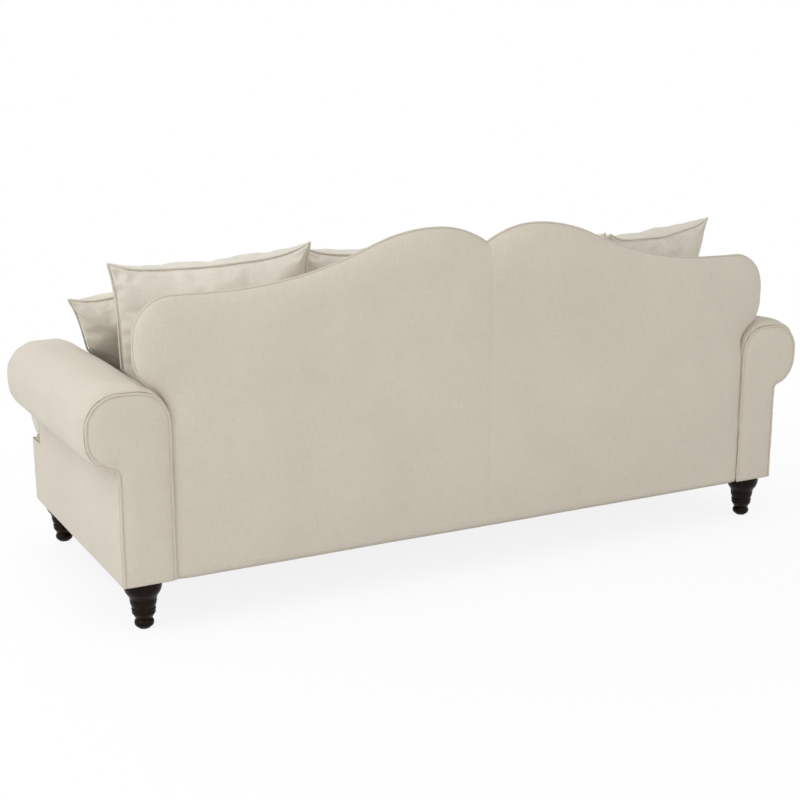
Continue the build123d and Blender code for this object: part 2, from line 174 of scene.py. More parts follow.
def arc(start, end, centre, count=20):
    """Short arc about a centre, its angle running evenly from the start's to the end's."""
    start, end, centre = (np.asarray(p, float) for p in (start, end, centre))
    first, last = (np.arctan2(*(p - centre)[::-1]) for p in (start, end))
    turn = (last - first + pi) % (2 * pi) - pi
    angle = first + turn * np.linspace(0, 1, count)
    return centre + np.hypot(*(start - centre)) * np.stack((np.cos(angle), np.sin(angle)), -1)


def sway(start, end, share, upright):
    """S of two arcs that meet on the chord and are level, or upright, at both ends."""
    run, climb = end[0] - start[0], end[1] - start[1]
    middle = (start[0] + share * run, start[1] + share * climb)
    swing = (run**2 + climb**2) / (2 * (run if upright else climb))
    rest = (1 - share) * swing
    first = (start[0] + share * swing, start[1]) if upright else (start[0], start[1] + share * swing)
    second = (end[0] - rest, end[1]) if upright else (end[0], end[1] - rest)
    return np.concatenate((arc(start, middle, first), arc(middle, end, second)))


def along(points, shares):
    """Points at the given shares of a polyline's length."""
    steps = np.linalg.norm(np.diff(points, axis=0), axis=1)
    length = np.concatenate(([0], np.cumsum(steps))) / steps.sum()
    return np.stack([np.interp(shares, length, points[:, k]) for k in range(points.shape[1])], -1)


def lengths(points):
    """Length of a polyline up to each of its points."""
    return np.concatenate(([0], np.cumsum(np.linalg.norm(np.diff(points, axis=0), axis=1))))


def loop(points, count):
    """Evenly spaced points round a closed polyline."""
    return along(np.concatenate((points, points[:1])), np.linspace(0, 1, count + 1))[:-1]


def reach(points, edge):
    """Distance of each point of a flat grid to the nearest piece of an edge polyline."""
    start, run = edge[:-1], np.diff(edge, axis=0)
    size = np.maximum((run**2).sum(-1), 1e-12)
    apart = points[..., None, :] - start
    t = np.clip((apart * run).sum(-1) / size, 0, 1)
    return np.sqrt(((apart - t[..., None] * run) ** 2).sum(-1)).min(-1)


def patch(low, high, left, right, s, t):
    """Patch between four edges, at shares s across and t up: opposite edges blended straight, less
    the blend of the corners."""
    s, t = s[:, None, None], t[None, :, None]
    across = (1 - t) * low[:, None] + t * high[:, None]
    upward = (1 - s) * left[None] + s * right[None]
    corners = ((1 - s) * (1 - t) * low[0] + s * (1 - t) * low[-1]
               + (1 - s) * t * high[0] + s * t * high[-1])
    return across + upward - corners


def grid_quads(rows, columns, first=0):
    """Corner numbers of the quads of a grid whose columns run fastest."""
    number = first + np.arange(rows * columns).reshape(rows, columns)
    return np.stack((number[:-1, :-1], number[1:, :-1], number[1:, 1:], number[:-1, 1:]), -1).reshape(-1, 4)


def mesh_piece(name, points, quads, corner_uv, flip=False, weld=2e-5):
    """Mesh from arrays of points, quads and the texture place of each quad's corners."""
    if flip:
        quads, corner_uv = quads[:, ::-1], corner_uv[:, ::-1]
    mesh = bpy.data.meshes.new(name)
    mesh.vertices.add(len(points))
    mesh.vertices.foreach_set("co", np.ascontiguousarray(points, np.float32).ravel())
    mesh.loops.add(quads.size)
    mesh.loops.foreach_set("vertex_index", np.ascontiguousarray(quads, np.int32).ravel())
    mesh.polygons.add(len(quads))
    mesh.polygons.foreach_set("loop_start", np.arange(0, quads.size, 4, dtype=np.int32))
    mesh.update(calc_edges=True)
    layer = mesh.uv_layers.new(name="cloth")
    layer.data.foreach_set("uv", np.ascontiguousarray(corner_uv, np.float32).ravel())
    mesh.shade_smooth()
    if weld:
        work = bmesh.new()
        work.from_mesh(mesh)
        bmesh.ops.remove_doubles(work, verts=work.verts, dist=weld)
        work.to_mesh(mesh)
        work.free()
    mesh.validate()
    piece = bpy.data.objects.new(name, mesh)
    bpy.context.scene.collection.objects.link(piece)
    return piece


def surface(name, grids, flip=False, weld=2e-5):
    """One mesh from grids of points, each with its grid of texture places in metres."""
    points, quads, places, count = [], [], [], 0
    for grid, uv in grids:
        rows, columns = grid.shape[:2]
        local = grid_quads(rows, columns)
        points.append(grid.reshape(-1, 3))
        quads.append(local + count)
        places.append(uv.reshape(-1, 2)[local])
        count += rows * columns
    return mesh_piece(name, np.concatenate(points), np.concatenate(quads),
                      np.concatenate(places), flip, weld)


def tube(name, path, out, radius, closed=False, sides=12, seed=0):
    """Cord of a round profile along a path: the profile turns in the plane of the given outward
    direction and the path's cross direction; its radius waves by a few hundredths."""
    if closed:
        path, out = np.concatenate((path, path[:1])), np.concatenate((out, out[:1]))
        step = np.roll(path[:-1], -1, 0) - np.roll(path[:-1], 1, 0)
        ahead = np.concatenate((step, step[:1]))
    else:
        ahead = np.gradient(path, axis=0)
    ahead = unit(ahead)
    out = unit(out - (out * ahead).sum(1, keepdims=True) * ahead)
    cross = np.cross(out, ahead)
    run = lengths(path)
    thick = radius * (1 + 0.05 * ripple(run * 90, run * 31, seed))
    if closed:
        thick[-1] = thick[0]
    turn = np.linspace(0, 2 * pi, sides + 1)
    ring = np.cos(turn)[:, None] * out[:, None] + np.sin(turn)[:, None] * cross[:, None]
    grid = path[:, None] + thick[:, None, None] * ring
    uv = spread(run[:, None] + 0.7 * radius * turn, radius * turn)
    grids = [(grid, uv)]
    if not closed:
        shrink = np.array((1.0, 0.0))[:, None, None]
        for end in (0, -1):
            cap = path[end] + shrink * (grid[end] - path[end])
            cap = cap[::-1] if end == 0 else cap
            grids.append((cap, cap[..., :2]))
    return surface(name, grids)


def wing_edge():
    """Edge of the back's right half in two runs: base to the wing's corner, corner to the notch."""
    wing, corner = WING_HALF, WING_HALF - WING_CORNER
    centre = (corner, SHOULDER - WING_CORNER)
    bend = np.array(centre) + WING_CORNER * np.sqrt(0.5)
    rise = HUMP - NOTCH - NOTCH_RADIUS
    hump = (HUMP_X**2 + rise**2 - NOTCH_RADIUS**2) / (2 * (rise + NOTCH_RADIUS))
    valley = NOTCH + NOTCH_RADIUS
    lean = NOTCH_RADIUS / (hump + NOTCH_RADIUS)
    meet = (lean * HUMP_X, valley - lean * (valley - HUMP + hump))
    side = np.concatenate((
        [(BACK_HALF, 0.0)], sway((BACK_HALF, FLARE_LOW), (wing, FLARE_HIGH), 0.5, True),
        arc((wing, SHOULDER - WING_CORNER), bend, centre)))
    top = np.concatenate((
        arc(bend, (corner, SHOULDER), centre), sway((SHOULDER_X, SHOULDER), (HUMP_X, HUMP), 0.69, False),
        arc((HUMP_X, HUMP), meet, (HUMP_X, HUMP - hump)), arc(meet, (0.0, NOTCH), (0.0, valley))))
    return side, top


def full_edge(count, low=0.0):
    """The whole edge of the back from the left base over both humps to the right base."""
    side, top = wing_edge()
    half = np.concatenate((side, top[1:]))
    start = np.concatenate(([(BACK_HALF, low)], half[half[:, 1] > low]))
    half = along(start, np.linspace(0, 1, count))
    return np.concatenate((half * (-1, 1), half[-2::-1]))


def scroll_edge(inset, low, neck):
    """Outer and inner run of an arm's end, both ending at the middle of the roll's top: the wall,
    a hollow neck that touches wall and roll, then the rounded roll."""
    outer, inner = BASE_HALF - inset, ARM_INNER + inset
    tip, top = ARM_INNER + ROLL_WIDTH - inset, ROLL_TOP - inset
    corner, hollow = ROLL_CORNER - inset, neck + inset
    under = ROLL_LOW + inset
    roll = np.array((tip - corner, under + corner))
    dip = np.array((outer + hollow, 0.0))
    dip[1] = roll[1] - np.sqrt((corner + hollow) ** 2 - (dip[0] - roll[0]) ** 2)
    touch = roll + (dip - roll) * corner / (corner + hollow)
    middle = ((tip - corner + inner + corner) / 2, top)
    outside = np.concatenate((
        [(outer, low)], arc((outer, dip[1]), touch, dip, 12), arc(touch, (tip, under + corner), roll, 24),
        arc((tip, top - corner), (tip - corner, top), (tip - corner, top - corner), 24), [middle]))
    inside = np.concatenate((
        [(inner, low)], arc((inner, top - corner), (inner + corner, top), (inner + corner, top - corner), 24),
        [middle]))
    return outside, inside


def wear(piece, body, nodes, look):
    """Give a finished piece its body, its nodes and the finish of that name."""
    piece.data.materials.clear()
    piece.data.materials.append(finish(look))
    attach(piece, body)
    if nodes:
        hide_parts(*nodes)
    return piece


def thicken(piece, wall):
    """Give an open cover its cloth thickness, inwards."""
    shell = piece.modifiers.new("cloth", "SOLIDIFY")
    shell.thickness = wall
    shell.offset = -1
    return piece


def cover(name, grids, node, flip=False):
    """Linen cover with its cloth's thickness, in place of a node of the frame."""
    piece = thicken(surface(name, grids, flip), CLOTH)
    return wear(piece, "frame", [node], "upholstery_linen")


class Shade:
    """A shader socket that takes part in sums: each operator adds one Math node."""

    def __init__(self, tree, socket=None):
        self.tree, self.socket = tree, socket

    def node(self, kind, settings=None, out=0, **sockets):
        """Add a node, set it up, fill or link its sockets, and wrap one of its outputs."""
        made = self.tree.nodes.new(kind)
        for key, value in (settings or {}).items():
            setattr(made, key, value)
        self.fill(made, **sockets)
        return Shade(self.tree, made.outputs[out])

    def fill(self, made, **sockets):
        """Set or link a node's sockets: underscores stand for spaces, i and a number for a place."""
        for key, value in sockets.items():
            number = int(key[1:]) if key[0] == "i" and key[1:].isdigit() else key.replace("_", " ")
            if isinstance(value, Shade):
                self.tree.links.new(value.socket, made.inputs[number])
            else:
                made.inputs[number].default_value = value

    def maths(self, operation, first, second=0.0):
        """One Math node on sockets or numbers."""
        return self.node("ShaderNodeMath", {"operation": operation}, i0=first, i1=second)

    def __add__(self, other):
        return self.maths("ADD", self, other)

    __radd__ = __add__

    def __sub__(self, other):
        return self.maths("SUBTRACT", self, other)

    def __rsub__(self, other):
        return self.maths("SUBTRACT", other, self)

    def __mul__(self, other):
        return self.maths("MULTIPLY", self, other)

    __rmul__ = __mul__

    def sine(self):
        """Sine of the socket's number."""
        return self.maths("SINE", self)


def linear(colour, factor=1.0):
    """Colour as seen to the linear numbers that a shader takes, scaled by a factor."""
    c = np.array(colour[:3], float)
    c = np.where(c <= 0.04045, c / 12.92, ((c + 0.055) / 1.055) ** 2.4) * factor
    return (*np.clip(c, 0, 1), 1.0)


def new_material(name):
    """Empty material with its shader, and a maker of nodes for it."""
    material = bpy.data.materials.new(name)
    material.use_nodes = True
    shader = material.node_tree.nodes["Principled BSDF"]
    return material, shader, Shade(material.node_tree)


def mix(shade, factor, first, second):
    """Colour between two colours by a factor."""
    return shade.node("ShaderNodeMix", {"data_type": "RGBA"}, out=2, i0=factor, i6=first, i7=second)


def noise(shade, vector, scale, detail=3.0, rough=0.55):
    """Cloudy number of about a half."""
    return shade.node("ShaderNodeTexNoise", Vector=vector, Scale=scale, Detail=detail, Roughness=rough)


def stretch(shade, vector, scale):
    """Texture place scaled apart along its axes."""
    return shade.node("ShaderNodeMapping", Vector=vector, Scale=scale)


def linen(name, colour, pitch, slub=1.0, bias=0.0):
    """Plain-woven linen: the product of two thread sines makes the weave, long noises along both
    threads make the slubs, and broad clouds vary the tone."""
    material, shader, shade = new_material(name)
    uv = shade.node("ShaderNodeTexCoord", out="UV")
    if bias:
        uv = shade.node("ShaderNodeMapping", Vector=uv, Rotation=(0.0, 0.0, bias))
    u, v = (shade.node("ShaderNodeSeparateXYZ", Vector=uv, out=k) for k in range(2))
    threads = pi / pitch
    weave = (u * threads).sine() * (v * threads).sine()
    slow, fast = 28.0, 520.0
    weft = noise(shade, stretch(shade, uv, (slow, fast, 1.0)), 1.0, 2.0)
    warp = noise(shade, stretch(shade, uv, (fast, slow, 1.0)), 1.0, 2.0)
    cloud = noise(shade, shade.node("ShaderNodeTexCoord", out="Object"), 5.0, 4.0)
    fleck = noise(shade, uv, 240.0, 2.0)
    uneven = 0.55 * (weft - 0.5) + 0.55 * (warp - 0.5) + 0.25 * (fleck - 0.5)
    tone = 0.5 + slub * uneven + 0.5 * (cloud - 0.5)
    colour = mix(shade, tone, linear(colour, 0.86), linear(colour, 1.14))
    height = 0.45 * weave + 0.6 * (weft + warp)
    bump = shade.node("ShaderNodeBump", Strength=0.3, Distance=0.0006, Height=height)
    shade.fill(shader, Base_Color=colour, Normal=bump, Roughness=0.9, Specular_IOR_Level=0.25,
               Sheen_Weight=0.12, Sheen_Roughness=0.5)
    return material


def grained(name, colour, scale, contrast=0.25, rough=(0.45, 0.6), gloss=0.4, axis=2, bump=0.0003):
    """Wood or another streaked stuff: noise drawn out along one axis of the model."""
    material, shader, shade = new_material(name)
    scales = [scale] * 3
    scales[axis] = scale * 0.07
    where = shade.node("ShaderNodeTexCoord", out="Object")
    streak = noise(shade, stretch(shade, where, tuple(scales)), 1.0, 5.0, 0.6)
    broad = noise(shade, where, scale * 0.12, 2.0)
    tone = 0.7 * streak + 0.3 * broad
    colour = mix(shade, tone, linear(colour, 1 - 1.6 * contrast), linear(colour, 1 + 1.6 * contrast))
    roughness = rough[0] + (rough[1] - rough[0]) * streak
    relief = shade.node("ShaderNodeBump", Strength=0.25, Distance=bump, Height=streak)
    shade.fill(shader, Base_Color=colour, Roughness=roughness, Normal=relief, Specular_IOR_Level=gloss)
    return material


def pored(name, colour, scale, contrast=0.12, rough=0.9, metal=0.0, bump=0.0008):
    """Foam, felt, fleece or cast stuff: fine noise over the model's own place."""
    material, shader, shade = new_material(name)
    where = shade.node("ShaderNodeTexCoord", out="Object")
    grain = noise(shade, where, scale, 4.0, 0.65)
    colour = mix(shade, grain, linear(colour, 1 - 2 * contrast), linear(colour, 1 + 2 * contrast))
    relief = shade.node("ShaderNodeBump", Strength=0.35, Distance=bump, Height=grain)
    roughness = rough - 0.1 + 0.2 * grain
    shade.fill(shader, Base_Color=colour, Roughness=roughness, Normal=relief, Metallic=metal)
    return material


def banded(name, colour, dark):
    """Woven belt: the product of two slanted sines makes the rib, and fine noise flecks it."""
    material, shader, shade = new_material(name)
    where = shade.node("ShaderNodeTexCoord", out="Object")
    x, y, z = (shade.node("ShaderNodeSeparateXYZ", Vector=where, out=k) for k in range(3))
    rib = ((x + y + z) * 2500.0).sine() * ((x - y - z) * 2500.0).sine()
    fleck = noise(shade, where, 180.0)
    tone = 0.5 + 0.2 * rib + 0.8 * (fleck - 0.5)
    colour = mix(shade, tone, linear(dark), linear(colour))
    relief = shade.node("ShaderNodeBump", Strength=0.3, Distance=0.0006, Height=rib)
    shade.fill(shader, Base_Color=colour, Normal=relief, Roughness=0.85)
    return material


def finish(name):
    """The finish of that name, made when it is first asked for."""
    if name in bpy.data.materials:
        return bpy.data.materials[name]
    sizes, colours = bpy.context.scene.sofa_sizes, bpy.context.scene.sofa_colours
    makers = {
        "upholstery_linen": lambda n: linen(n, colours.linen, sizes.weave),
        "pillow_linen_weave": lambda n: linen(n, colours.pillow, sizes.weave, 1.25),
        "piping_linen": lambda n: linen(n, colours.piping, sizes.weave, 0.8, pi / 4),
        "deck_cotton": lambda n: linen(n, (0.78, 0.74, 0.68), 0.0012, 0.6),
        "dust_fleece": lambda n: pored(n, (0.09, 0.09, 0.09), 420.0, 0.25),
        "dark_foot_stain": lambda n: grained(n, colours.foot, 260.0, 0.22, (0.28, 0.40), 0.09),
        "pale_frame_wood": lambda n: grained(n, (0.80, 0.68, 0.50), 120.0, 0.14, axis=0),
        "layered_ply": lambda n: grained(n, (0.78, 0.64, 0.46), 150.0, 0.18, axis=0),
        "seat_foam": lambda n: pored(n, (0.86, 0.84, 0.74), 500.0),
        "grey_felt": lambda n: pored(n, (0.35, 0.34, 0.33), 600.0, 0.2),
        "zinc_steel": lambda n: pored(n, (0.72, 0.72, 0.70), 300.0, 0.06, 0.35, 1.0, 0.0001),
        "jute_belt": lambda n: banded(n, (0.72, 0.62, 0.46), (0.58, 0.48, 0.34)),
    }
    return makers[name](name)


def half_back_grid(side):
    """Rear cover of one half of the back. The patch lies between seam, base, wing and top; it
    stands on the rear plane, and falls forward to the piping by a quarter ellipse whose width
    grows towards the wing. A crease runs down the seam and the middle is a little proud."""
    sizes = bpy.context.scene.sofa_sizes
    wing, top = wing_edge()
    s, t = (1 - (1 - np.linspace(0, 1, count)) ** 1.5 for count in (118, 96))
    s = np.concatenate(([0.0, 0.0007, 0.002], s[1:]))
    seam, fall, tucked, hem_fall = 0.00005, 0.0285, 0.019, 0.005
    groove, dip, pucker, waver = 0.0006, 0.0009, 0.0018, 0.0007
    tuck_out, base_out, tuck_reach = 0.0038, 0.0042, 0.05
    # Spans of level and of x over which the tuck beside the arm and the wider roundings come in.
    arm_levels, base_levels, arm_side = (0.45, 0.37), (0.22, 0.17), (0.7, 0.8)
    wing_levels, wing_side, side_levels = (0.36, 0.52), (0.55, 0.86), (0.5, 0.3)
    low = np.stack((seam + (BACK_HALF - seam) * s, 0 * s), -1)
    high = along(top[::-1], s)
    left = np.stack((seam + 0 * t, NOTCH * t), -1)
    right = along(wing, t)
    high[:, 0] = np.maximum(high[:, 0], seam)
    flat = patch(low, high, left, right, s, t)
    edge = np.concatenate((wing, top[1:]))
    gap = reach(flat, edge)
    x, up = flat[..., 0], flat[..., 1]
    tuck = smooth(*arm_levels, up) * np.exp(-gap / tuck_reach) * smooth(*arm_side, x)
    x = x + tuck * (tuck_out + base_out * smooth(*base_levels, up))
    aside = smooth(*wing_side, x) * smooth(*wing_levels, up)
    width = sizes.top_round + (sizes.side_round - sizes.top_round) * smooth(*side_levels, up)
    width = width + (sizes.wing_round - sizes.top_round) * aside
    forward = (fall - tucked * tuck) * rounding(gap, width) + hem_fall * rounding(up, HEM)
    forward = forward - sizes.puff * smooth(0, 0.25, gap) * smooth(0, 0.12, up)
    forward = forward + groove * np.exp(-(x / 0.004) ** 2) + dip * np.exp(-x / 0.03)
    notch = np.hypot(x, up - NOTCH)
    forward = forward + pucker * np.exp(-notch / 0.05) * ripple(x * 120, up * 60, 4)
    forward = forward + waver * ripple(x * 9, up * 7, 11)
    return place(side * x, forward, up), spread(side * x, up)


def inside_back_grid(inset=0.0):
    """Front cover of the back, or the padding that far below it. Each point of the edge is joined
    to a point of the base line; the cloth rises from the piping to the raked front by a quarter
    sine of the distance to the edge, over a width that narrows beside the arms, with small
    ripples pressed in."""
    low, piped, below, waver = COVER_LOW + inset, 0.0336, 0.001, 0.0008
    wide, narrower, arm_levels = 0.078, 0.05, (0.52, 0.42)
    edge = full_edge(150, low) * (1 - inset, 1) - (0, inset)
    count = len(edge)
    foot = np.stack((np.linspace(*edge[(0, -1), 0], count), edge[0, 1] + np.zeros(count)), -1)
    t = np.linspace(0, 1, 80) ** 1.7
    flat = edge[:, None] + t[None, :, None] * (foot - edge)[:, None]
    gap = reach(flat, edge)
    x, up = flat[..., 0], flat[..., 1]
    ripples = waver * ripple(x * 12, up * 10, 21) * smooth(0, 0.06, gap)
    front = BACK_FRONT + BACK_RAKE * (HUMP - up) - below + np.minimum(ripples, 0)
    width = wide - narrower * smooth(*arm_levels, up)
    rise = np.sin(pi / 2 * np.clip(gap / width, 0, 1))
    forward = piped + (front - inset - piped) * rise
    return place(x, forward, up), spread(x, up - forward)


def roll_grid(side):
    """Cover of one arm: sections of the rounded roll and the inner wall, carried from the rear
    piping to the front one. The roll swells from each end by a quarter ellipse, and small
    puckers die away from the piping."""
    sizes = bpy.context.scene.sofa_sizes
    end, soft, slack, count = 0.0045, 0.062, 0.0008, 26
    pucker_depth, pucker_reach, sag_depth = 0.0011, 0.035, 0.0009
    forward = end + (ARM_LENGTH - 2 * end) * eased(110)
    gap = np.minimum(forward - end, ARM_LENGTH - end - forward)
    angle = np.linspace(0, 1, count)
    swell = sizes.swell * (1 - rounding(gap, soft))
    around = np.linspace(0, 3, 3 * count)
    fading = pucker_depth * np.exp(-gap / pucker_reach) * smooth(0, 0.004, gap)
    pucker = fading[:, None] * ripple(around * 17, gap[:, None] * 20, 7)
    sag = sag_depth * ripple(around * 2.0, forward[:, None] * 12, 9) * smooth(0, 0.08, gap)[:, None]
    wide, high = ROLL_WIDTH + swell, ROLL_HEIGHT + swell
    corner = ROLL_CORNER + swell / 2
    x_out, x_in = ARM_INNER + wide - corner, ARM_INNER + corner
    z_low, z_high = ROLL_LOW + corner, ROLL_LOW + high - corner
    parts = []
    for number, (cx, cz) in enumerate(((x_out, z_low), (x_out, z_high), (x_in, z_high))):
        turn = (number - 1 + angle) * pi / 2
        radius = corner[:, None] + (pucker + sag)[:, number * count:(number + 1) * count]
        parts.append(np.stack((cx[:, None] + radius * np.cos(turn), cz[:, None] + radius * np.sin(turn)), -1))
    wall, foot = np.linspace(0, 1, 24)[1:], 0.155
    last = parts[-1][:, -1]
    parts.append(spread(last[:, :1], last[:, 1:] + (foot - last[:, 1:]) * wall))
    section = np.concatenate(parts, 1)
    section[..., 0] = np.maximum(section[..., 0], ARM_INNER - slack)
    grid = place(side * section[..., 0], forward[:, None], section[..., 1])
    steps = np.linalg.norm(np.diff(section, axis=1), axis=2)
    length = np.concatenate((np.zeros((len(section), 1)), np.cumsum(steps, 1)), 1)
    return grid, spread(forward[:, None], length)


def end_grid(side, forward, low, way):
    """Padded end of one arm: rows run between the outer and the inner run of the scroll at equal
    levels, and stand proud of the piping by a quarter ellipse."""
    sizes = bpy.context.scene.sofa_sizes
    inset, stand, width, waver = 0.0046, 0.0095, 0.042, 0.0005
    outside, inside = scroll_edge(inset, low, sizes.neck)
    outer = along(outside, np.linspace(0, 1, 150))
    inner = np.interp(outer[:, 1], inside[:, 1], inside[:, 0])
    inner[-1] = outer[-1, 0]
    x = inner[:, None] + eased(56) * (outer[:, 0] - inner)[:, None]
    up = np.broadcast_to(outer[:, 1:], x.shape)
    edge = np.concatenate((outside, inside[::-1]))
    gap = reach(np.stack((x, up), -1), edge)
    proud = stand * (1 - rounding(gap, width)) + waver * ripple(x * 30, up * 18, 5) * smooth(0, 0.03, gap)
    if low < COVER_LOW:
        proud = proud * (1 - 0.8 * rounding(up, HEM))
    return place(side * x, forward - way * proud, up), spread(x, up)


def side_grids(side):
    """Outside of one arm in two fields, up to the roll and on to the front corner: a tight cloth,
    a little proud in the middle, that rounds off at the front corner by a quarter ellipse."""
    bulge, fade, top_fade, hem_fall, rear_fall = 0.0015, 0.1, 0.06, 0.004, 0.002
    grids = []
    low = BORDER_TOP * eased(36)
    high = BORDER_TOP + (PANEL_TOP - BORDER_TOP) * eased(20)
    fields = ((PANEL_REAR, PANEL_STEP, 70, np.concatenate((low, high[1:]))),
              (PANEL_STEP, PANEL_FRONT, 24, low))
    for start, end, count, up in fields:
        forward = np.linspace(start, end, count)[:, None]
        proud = bulge * smooth(0, fade, forward - WELT) * smooth(0, fade, up)
        proud = proud * smooth(0, top_fade, PANEL_TOP - up) + WAVER * ripple(forward * 14, up * 16, 31)
        x = BASE_HALF + OFF + proud - CORNER_FALL * rounding(BASE_DEPTH - forward, CORNER_WIDTH)
        x = x - hem_fall * rounding(up, HEM) - rear_fall * rounding(forward - PANEL_REAR, HEM)
        grids.append((place(side * x, forward, up), spread(forward, up)))
    return grids


def pillow_frame(x, forward, up, lean, yaw, roll):
    """Middle of a pillow and its three directions: across, up its face, and out of its face."""
    lean, yaw, roll = np.radians((lean, yaw, roll))
    facing = np.array((np.cos(lean) * np.sin(yaw), -np.cos(lean) * np.cos(yaw), np.sin(lean)))
    level = np.array((np.cos(yaw), np.sin(yaw), 0.0))
    rise = np.cross(facing, level)
    across = np.cos(roll) * level + np.sin(roll) * rise
    return place(x, forward, up), np.stack((across, np.cross(facing, across), facing))


def read_points(mesh):
    """Places of a mesh's points, a row each."""
    points = np.empty(len(mesh.vertices) * 3, np.float32)
    mesh.vertices.foreach_get("co", points)
    return points.reshape(-1, 3)


def inflate(piece, pressure, cap, frames=20, grow=-0.03, held=()):
    """Fill a closed cover with air: cloth simulation with a little spare cloth and no gravity, the
    given points held still, and each other point kept within a cap of where it started."""
    start = read_points(piece.data)
    cloth = piece.modifiers.new("air", "CLOTH")
    rules = cloth.settings
    rules.quality, rules.mass, rules.air_damping = 6, 0.3, 2.0
    rules.tension_stiffness = rules.compression_stiffness = 18
    rules.shear_stiffness, rules.bending_stiffness = 8, 0.6
    rules.use_pressure, rules.uniform_pressure_force = True, pressure
    rules.shrink_min = grow
    rules.effector_weights.gravity = 0
    if len(held):
        piece.vertex_groups.new(name="seam").add([int(n) for n in held], 1.0, "REPLACE")
        rules.vertex_group_mass = "seam"
    cloth.collision_settings.use_self_collision = False
    cloth.point_cache.frame_start, cloth.point_cache.frame_end = 1, frames
    scene = bpy.context.scene
    scene.frame_start, scene.frame_end = 1, frames
    for number in range(1, frames + 1):
        scene.frame_set(number)
    end = read_points(piece.evaluated_get(bpy.context.evaluated_depsgraph_get()).to_mesh())
    piece.modifiers.remove(cloth)
    scene.frame_set(1)
    move = end - start
    size = np.linalg.norm(move, axis=1, keepdims=True)
    return start + move * np.minimum(1, cap / np.maximum(size, 1e-9))


def set_points(piece, points):
    """Put new places on a mesh's points."""
    piece.data.vertices.foreach_set("co", np.ascontiguousarray(points, np.float32).ravel())
    piece.data.update()


def subdivide(piece):
    """One live subdivision, the same in view and render."""
    finer = piece.modifiers.new("smooth", "SUBSURF")
    finer.levels = finer.render_levels = 1


def pillow_cover(width, height, front, rear, count, seed):
    """Two faces sewn at the edge, in the pillow's own directions. The edge draws in between its
    blunt ears by a quartic; each face stands off as a product of powers of two parabolas."""
    even = np.linspace(-1, 1, count)
    side = 0.5 * even + 0.5 * np.sin(pi / 2 * even)
    a, b = np.broadcast_arrays(side[:, None], side[None, :])
    ears, side_draw, top_draw, crumple, waver = 0.022, 0.08, 0.18, 0.005, 0.004
    blunt = 1 - ears * (a * b) ** 10
    across = width / 2 * a * (1 - side_draw * (1 - b**4) * a**2) * blunt
    upward = height / 2 * b * (1 - top_draw * (1 - a**4) * b**2) * blunt
    full = (1 - a**2) ** 0.40 * (1 - b**2) ** 0.30
    crush = crumple * ripple(a * 3, b * 3, seed) * full
    number = np.arange(count * count).reshape(count, count)
    rim = np.concatenate((number[:-1, 0], number[-1, :-1], number[:0:-1, -1], number[0, :0:-1]))
    wave = waver * ripple(a * 5, b * 5, seed + 40) * (1 - (a * b) ** 2)
    uv = np.stack((across, upward), -1)
    grids = []
    for way, deep in ((1, front), (-1, rear)):
        points = np.stack((across, upward, way * deep * full + crush * deep / front + wave), -1)
        shift = uv + (0.0 if way > 0 else 1.3)
        grids.append((points, shift) if way > 0 else (points[::-1], shift[::-1]))
    return grids, points.reshape(-1, 3)[rim]


def cushion_cover():
    """Closed cover of the right seat cushion: points, quads, texture places and the numbers of its
    top and low rims. Top and bottom are T fields with a band between them that bulges by a half
    sine; the top crowns by a plateau that falls away at the edge by a quarter ellipse."""
    inset, drop, crown, swell, rings = 0.006, 0.018, 0.016, 0.018, 7
    near, wall, tip = 0.0015 + inset, BACK_HALF - inset, 0.998 - inset
    rear, step, nose = 0.1657 + inset, 0.7545 + inset, 0.851 - inset
    bend, ear = 55, 37
    xs = np.concatenate((np.linspace(near, wall, bend + 1), np.linspace(wall, tip, 10)[1:]))
    ys = np.concatenate((np.linspace(rear, step, ear + 1), np.linspace(step, nose, 8)[1:]))
    shape, count = (len(xs), len(ys)), len(xs) * len(ys)
    number = np.arange(count).reshape(shape)
    rim = np.concatenate((number[:bend, 0], number[bend, :ear], number[bend:-1, ear], number[-1, ear:-1],
                          number[:0:-1, -1], number[0, :0:-1]))
    flat = spread(xs[:, None], ys).reshape(-1, 2)
    edge = np.concatenate((flat[rim], flat[rim[:1]]))
    top = SEAT_TOP - drop + crown * (1 - rounding(reach(flat, edge), 0.16))
    low = np.full(count, BORDER_TOP + 0.004)
    share = np.linspace(0, 1, rings + 2)[1:-1]
    turn = np.roll(flat[rim], -1, 0) - np.roll(flat[rim], 1, 0)
    out = swell * np.stack((turn[:, 1], -turn[:, 0]), -1) / np.linalg.norm(turn, axis=1, keepdims=True)
    lift = top[rim] - low[rim]
    band = [np.column_stack((flat[rim] + np.sin(pi * s) * out, low[rim] + s * lift)) for s in share]
    points = np.concatenate((np.column_stack((flat, top)), np.column_stack((flat, low)), *band))
    inside = np.ones((len(xs) - 1, len(ys) - 1), bool)
    inside[bend:, :ear] = False
    field = grid_quads(*shape)[inside.ravel()]
    rows = 2 * count + np.arange(rings * len(rim)).reshape(rings, -1)
    around = np.concatenate((rim[None] + count, rows, rim[None]))
    ahead = np.roll(around, -1, axis=1)
    band_quads = np.stack((around[:-1], ahead[:-1], ahead[1:], around[1:]), -1).reshape(-1, 4)
    steps = lengths(edge)
    level = np.concatenate(([0.0], share, [1.0]))[:, None] * 0.15
    start, stop, under, over = steps[:-1], steps[1:], level[:-1], level[1:]
    corners = ((start, under), (stop, under), (stop, over), (start, over))
    band_uv = np.stack([spread(*corner) for corner in corners], 2).reshape(-1, 4, 2)
    quads = np.concatenate((field, field[:, ::-1] + count, band_quads))
    uv = np.concatenate((flat[field], flat[field[:, ::-1]] + 2.0, band_uv + 4.0))
    used = np.unique(quads)
    renumber = np.zeros(len(points), int)
    renumber[used] = np.arange(len(used))
    return points[used], renumber[quads], uv, (renumber[rim], renumber[rim + count])


